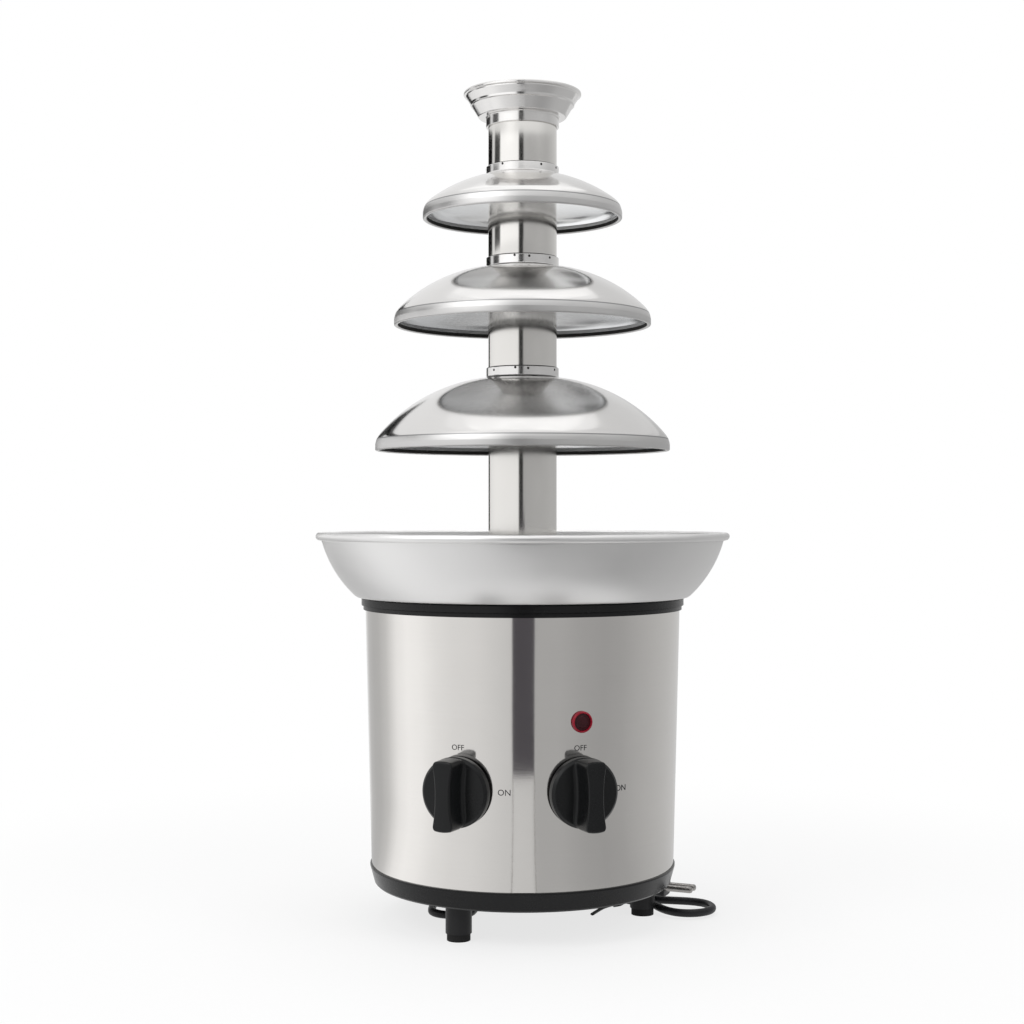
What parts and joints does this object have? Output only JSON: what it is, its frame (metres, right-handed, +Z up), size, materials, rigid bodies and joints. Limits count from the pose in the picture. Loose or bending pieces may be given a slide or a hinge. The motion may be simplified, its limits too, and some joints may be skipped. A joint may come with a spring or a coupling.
{
  "type": "chocolate fountain",
  "caption": "Free-standing chocolate fountain: heated bowl on a round steel base with knobs, stacked tower of domed tiers, lift-off crown, and a motor-driven screw in the column.",
  "frame": {"origin": "on the floor under the column's axis", "axes": "+Z up along the column, front with the knobs towards -Y, +X to the right"},
  "size_m": [0.24, 0.2801, 0.4788],
  "materials": {
    "steel_polished": "polished stainless sheet",
    "steel_satin": "satin stainless sheet",
    "black_gloss": "gloss black moulding",
    "black_satin": "satin black moulding",
    "rubber_black": "matt black rubber",
    "lens_red": "red clear moulding",
    "zinc_steel": "zinc plated steel",
    "case_alloy": "die cast alloy",
    "white_nylon": "natural nylon",
    "bronze": "sintered bronze",
    "silicone": "food grade silicone",
    "cord_pvc": "soft black cord sheath",
    "pin_steel": "plated pins"
  },
  "bodies": {
    "base": {"leg_tips": "rubber_black", "legs": "black_satin", "base_screws": "zinc_steel", "bottom_pan": "black_satin", "stainless_wrap": "steel_polished", "top_ring": "black_satin", "bowl": "steel_satin", "locating_pegs": "steel_polished", "bowl_studs": "zinc_steel", "bowl_nuts": "zinc_steel", "shaft_seal": "silicone", "heater_plate": "case_alloy", "heater_element": "zinc_steel", "thermostat": "black_satin", "thermal_fuse": "zinc_steel", "deck_plate": "zinc_steel", "tie_rods": "zinc_steel", "deck_screws": "zinc_steel", "gear_case": "case_alloy", "gear_cover": "case_alloy", "case_screws": "zinc_steel", "upper_bush": "bronze", "lower_bush": "bronze", "gear_pin": "zinc_steel", "motor_can": "zinc_steel", "motor_end_cap": "black_satin", "motor_magnets": "zinc_steel", "motor_switch": "black_satin", "heat_switch": "black_satin", "panel_nuts": "zinc_steel", "lamp_lens": "lens_red", "lamp_body": "black_satin", "terminal_block": "white_nylon", "wiring": "cord_pvc", "strain_relief": "rubber_black", "cord_lead": "cord_pvc", "cord_hank": "cord_pvc", "cord_tail": "cord_pvc", "cord_tie": "cord_pvc", "plug": "black_satin", "plug_pins": "pin_steel"},
    "motor_knob_body": {"motor_knob": "black_gloss", "motor_stem": "zinc_steel"},
    "heat_knob_body": {"heat_knob": "black_gloss", "heat_stem": "zinc_steel"},
    "drive": {"drive_shaft": "zinc_steel", "cross_pin": "zinc_steel", "output_gear": "white_nylon"},
    "idler": {"intermediate_gear": "white_nylon"},
    "rotor": {"motor_shaft": "zinc_steel", "motor_pinion": "bronze"},
    "screw": {"auger": "white_nylon"},
    "tower_lower": {"lower_tube": "steel_polished", "large_tier": "steel_polished"},
    "tower_middle": {"middle_tube": "steel_polished", "medium_tier": "steel_polished"},
    "tower_upper": {"upper_tube": "steel_polished", "small_tier": "steel_polished"},
    "tower_top": {"top_tube": "steel_polished", "crown": "steel_polished"}
  },
  "joints": [
    {"name": "motor_knob_turn", "type": "hinge", "parent": "base", "child": "motor_knob_body", "pos_m": [-0.03262, -0.08281, 0.085], "axis": [0.3665, 0.9304, 0], "range_deg": [0, 90]},
    {"name": "heat_knob_turn", "type": "hinge", "parent": "base", "child": "heat_knob_body", "pos_m": [0.03262, -0.08281, 0.085], "axis": [-0.3665, 0.9304, 0], "range_deg": [0, 90]},
    {"name": "drive_spin", "type": "hinge", "parent": "base", "child": "drive", "pos_m": [0, 0, 0.15], "axis": [0, 0, 1], "continuous": true},
    {"name": "idler_spin", "type": "hinge", "parent": "base", "child": "idler", "pos_m": [0.02898, 0.00777, 0.15], "axis": [0, 0, 1], "continuous": true},
    {"name": "rotor_spin", "type": "hinge", "parent": "base", "child": "rotor", "pos_m": [0.05796, 0.01553, 0.15], "axis": [0, 0, 1], "continuous": true},
    {"name": "screw_lift", "type": "slide", "parent": "drive", "child": "screw", "axis": [0, 0, 1], "range_m": [0, 0.05]},
    {"name": "tower_lift", "type": "slide", "parent": "base", "child": "tower_lower", "axis": [0, 0, 1], "range_m": [0, 0.04]},
    {"name": "middle_lift", "type": "slide", "parent": "tower_lower", "child": "tower_middle", "axis": [0, 0, 1], "range_m": [0, 0.03]},
    {"name": "upper_lift", "type": "slide", "parent": "tower_middle", "child": "tower_upper", "axis": [0, 0, 1], "range_m": [0, 0.03]},
    {"name": "crown_lift", "type": "slide", "parent": "tower_upper", "child": "tower_top", "axis": [0, 0, 1], "range_m": [0, 0.03]}
  ],
  "couplings": [
    {"joint": "idler_spin", "follows": "drive_spin", "ratio": -4},
    {"joint": "rotor_spin", "follows": "drive_spin", "ratio": 16}
  ]
}
